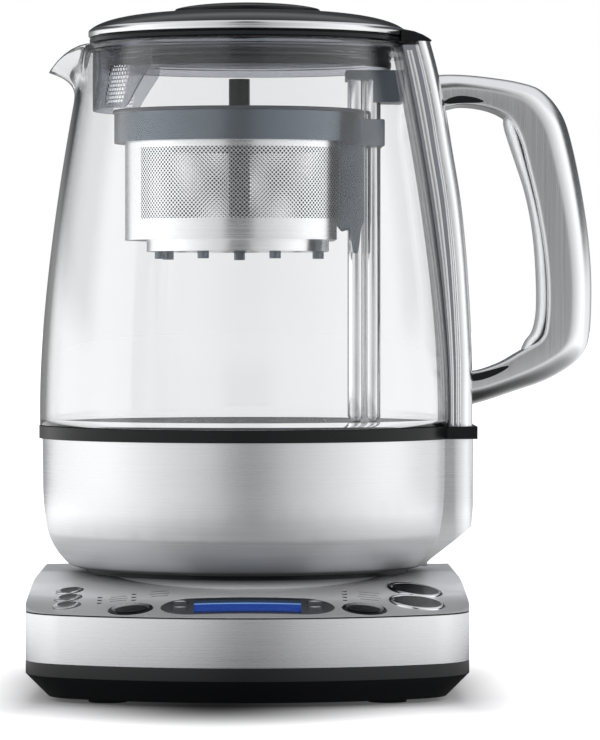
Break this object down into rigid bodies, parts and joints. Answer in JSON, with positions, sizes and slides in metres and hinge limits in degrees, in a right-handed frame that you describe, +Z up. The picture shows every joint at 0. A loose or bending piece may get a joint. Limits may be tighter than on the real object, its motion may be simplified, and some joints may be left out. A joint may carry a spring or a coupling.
{
  "type": "automatic tea maker",
  "caption": "Glass jug with a steel heater bowl on a power base with display and buttons; a strainer basket rides up and down a post inside, under a lift-off lid.",
  "frame": {"origin": "on the jug's vertical axis, in the plane that the feet stand on", "axes": "+Z up, front and panel towards -Y, handle towards +X, spout towards -X"},
  "size_m": [0.2401, 0.213, 0.2938],
  "materials": {
    "base_black": "moulded, lightly textured",
    "rubber_black": "matt",
    "brushed_base": "horizontal brushing",
    "brushed_bowl": "horizontal brushing",
    "satin_handle": "satin, fine brushing",
    "steel_inner": "satin",
    "chrome_trim": "bright",
    "button_steel": "satin bright, dished",
    "button_grey": "fine grain",
    "bezel_grey": "smoked",
    "key_light": "light arrows on grey",
    "lcd_blue": "lit blue",
    "clear_pane": "clear",
    "lamp_red": "clear red",
    "board_green": "solder mask",
    "brass_pin": "bright",
    "part_white": "moulded",
    "screw_steel": "zinc plated",
    "glass_clear": "polished",
    "collar_black": "satin",
    "smoke_grey": "smoked satin",
    "silicone_grey": "silicone",
    "black_satin": "satin",
    "post_steel": "bright drawn tube",
    "basket_steel": "perforated",
    "motor_steel": "plain",
    "element_steel": "tubular",
    "lid_grey": "satin cover",
    "magnet_grey": "sealed"
  },
  "bodies": {
    "base": {"base_housing": "base_black", "base_feet": "rubber_black", "base_band": "brushed_base", "deck_gasket": "rubber_black", "base_deck": "brushed_base", "base_screws": "screw_steel", "display_bezel": "bezel_grey", "lcd_window": "clear_pane", "lcd_module": "lcd_blue", "button_guides": "part_white", "large_button_rings": "chrome_trim", "medium_button_rings": "collar_black", "indicator_lights": "lamp_red", "control_board": "board_green", "power_connector": "collar_black", "connector_pins": "brass_pin", "power_supply": "part_white", "cord_gland": "rubber_black"},
    "jug": {"bowl_shell": "brushed_bowl", "foot_ring": "collar_black", "jug_collar": "collar_black", "heater_plate": "steel_inner", "plate_gasket": "silicone_grey", "heating_element": "element_steel", "temperature_sensor": "motor_steel", "jug_connector": "part_white", "glass_jug": "glass_clear", "lift_post": "post_steel", "post_bracket": "smoke_grey", "lift_motor": "motor_steel", "column_liner": "smoke_grey", "handle_column": "satin_handle", "column_cap": "black_satin", "handle_shell": "satin_handle", "handle_grip": "smoke_grey"},
    "lid": {"lid_cover": "lid_grey", "lid_trim": "chrome_trim", "lid_knob": "black_satin", "lid_skirt": "smoke_grey", "lid_seal": "silicone_grey"},
    "basket": {"basket_collar": "smoke_grey", "basket_wall": "basket_steel", "basket_base": "basket_steel", "basket_feet": "smoke_grey", "basket_bracket": "smoke_grey"},
    "tea_lid": {"basket_lid": "smoke_grey", "basket_stem": "black_satin"},
    "carriage": {"magnet_carriage": "magnet_grey"},
    "screw": {"lift_screw": "screw_steel"},
    "small_button_back_body": {"small_button_back": "button_steel"},
    "small_button_mid_body": {"small_button_mid": "button_steel"},
    "small_button_front_body": {"small_button_front": "button_steel"},
    "medium_button_left_body": {"medium_button_left": "button_steel"},
    "medium_button_right_body": {"medium_button_right": "button_steel"},
    "large_button_back_body": {"large_button_back": "button_grey"},
    "large_button_front_body": {"large_button_front": "button_grey"},
    "arrow_key_left_up_body": {"arrow_key_left_up": "key_light"},
    "arrow_key_left_down_body": {"arrow_key_left_down": "key_light"},
    "arrow_key_right_up_body": {"arrow_key_right_up": "key_light"},
    "arrow_key_right_down_body": {"arrow_key_right_down": "key_light"}
  },
  "joints": [
    {"name": "jug_lift", "type": "slide", "parent": "base", "child": "jug", "axis": [0, 0, 1], "range_m": [0, 0.05]},
    {"name": "lid_lift", "type": "slide", "parent": "jug", "child": "lid", "axis": [0, 0, 1], "range_m": [0, 0.06]},
    {"name": "basket_travel", "type": "slide", "parent": "jug", "child": "basket", "axis": [0, 0, 1], "range_m": [-0.065, 0]},
    {"name": "tea_lid_lift", "type": "slide", "parent": "basket", "child": "tea_lid", "axis": [0, 0, 1], "range_m": [0, 0.02]},
    {"name": "carriage_travel", "type": "slide", "parent": "jug", "child": "carriage", "axis": [0, 0, 1], "range_m": [-0.065, 0]},
    {"name": "screw_turn", "type": "hinge", "parent": "jug", "child": "screw", "pos_m": [0.04995, 0, 0.18], "axis": [0, 0, 1], "range_deg": [-1800.5, 0.5]},
    {"name": "small_button_back_press", "type": "slide", "parent": "base", "child": "small_button_back_body", "axis": [0.1298, 0.1406, -0.9815], "range_m": [0, 0.001], "stiffness_N_per_m": 500, "springref_m": -0.0015},
    {"name": "small_button_mid_press", "type": "slide", "parent": "base", "child": "small_button_mid_body", "axis": [0.1184, 0.1503, -0.9815], "range_m": [0, 0.001], "stiffness_N_per_m": 500, "springref_m": -0.0015},
    {"name": "small_button_front_press", "type": "slide", "parent": "base", "child": "small_button_front_body", "axis": [0.1083, 0.1577, -0.9815], "range_m": [0, 0.001], "stiffness_N_per_m": 500, "springref_m": -0.0015},
    {"name": "medium_button_left_press", "type": "slide", "parent": "base", "child": "medium_button_left_body", "axis": [0.0686, 0.1786, -0.9815], "range_m": [0, 0.001], "stiffness_N_per_m": 500, "springref_m": -0.0015},
    {"name": "medium_button_right_press", "type": "slide", "parent": "base", "child": "medium_button_right_body", "axis": [-0.0686, 0.1786, -0.9815], "range_m": [0, 0.001], "stiffness_N_per_m": 500, "springref_m": -0.0015},
    {"name": "large_button_back_press", "type": "slide", "parent": "base", "child": "large_button_back_body", "axis": [-0.124, 0.1458, -0.9815], "range_m": [0, 0.001], "stiffness_N_per_m": 500, "springref_m": -0.0015},
    {"name": "large_button_front_press", "type": "slide", "parent": "base", "child": "large_button_front_body", "axis": [-0.1054, 0.1597, -0.9815], "range_m": [0, 0.001], "stiffness_N_per_m": 500, "springref_m": -0.0015},
    {"name": "arrow_key_left_up_press", "type": "slide", "parent": "base", "child": "arrow_key_left_up_body", "axis": [0.0437, 0.1863, -0.9815], "range_m": [0, 0.0008], "stiffness_N_per_m": 400, "springref_m": -0.0012},
    {"name": "arrow_key_left_down_press", "type": "slide", "parent": "base", "child": "arrow_key_left_down_body", "axis": [0.0406, 0.187, -0.9815], "range_m": [0, 0.0008], "stiffness_N_per_m": 400, "springref_m": -0.0012},
    {"name": "arrow_key_right_up_press", "type": "slide", "parent": "base", "child": "arrow_key_right_up_body", "axis": [-0.0437, 0.1863, -0.9815], "range_m": [0, 0.0008], "stiffness_N_per_m": 400, "springref_m": -0.0012},
    {"name": "arrow_key_right_down_press", "type": "slide", "parent": "base", "child": "arrow_key_right_down_body", "axis": [-0.0406, 0.187, -0.9815], "range_m": [0, 0.0008], "stiffness_N_per_m": 400, "springref_m": -0.0012}
  ],
  "couplings": [
    {"joint": "carriage_travel", "follows": "basket_travel", "ratio": 1},
    {"joint": "screw_turn", "follows": "basket_travel", "rad_per_m": 483.32}
  ]
}
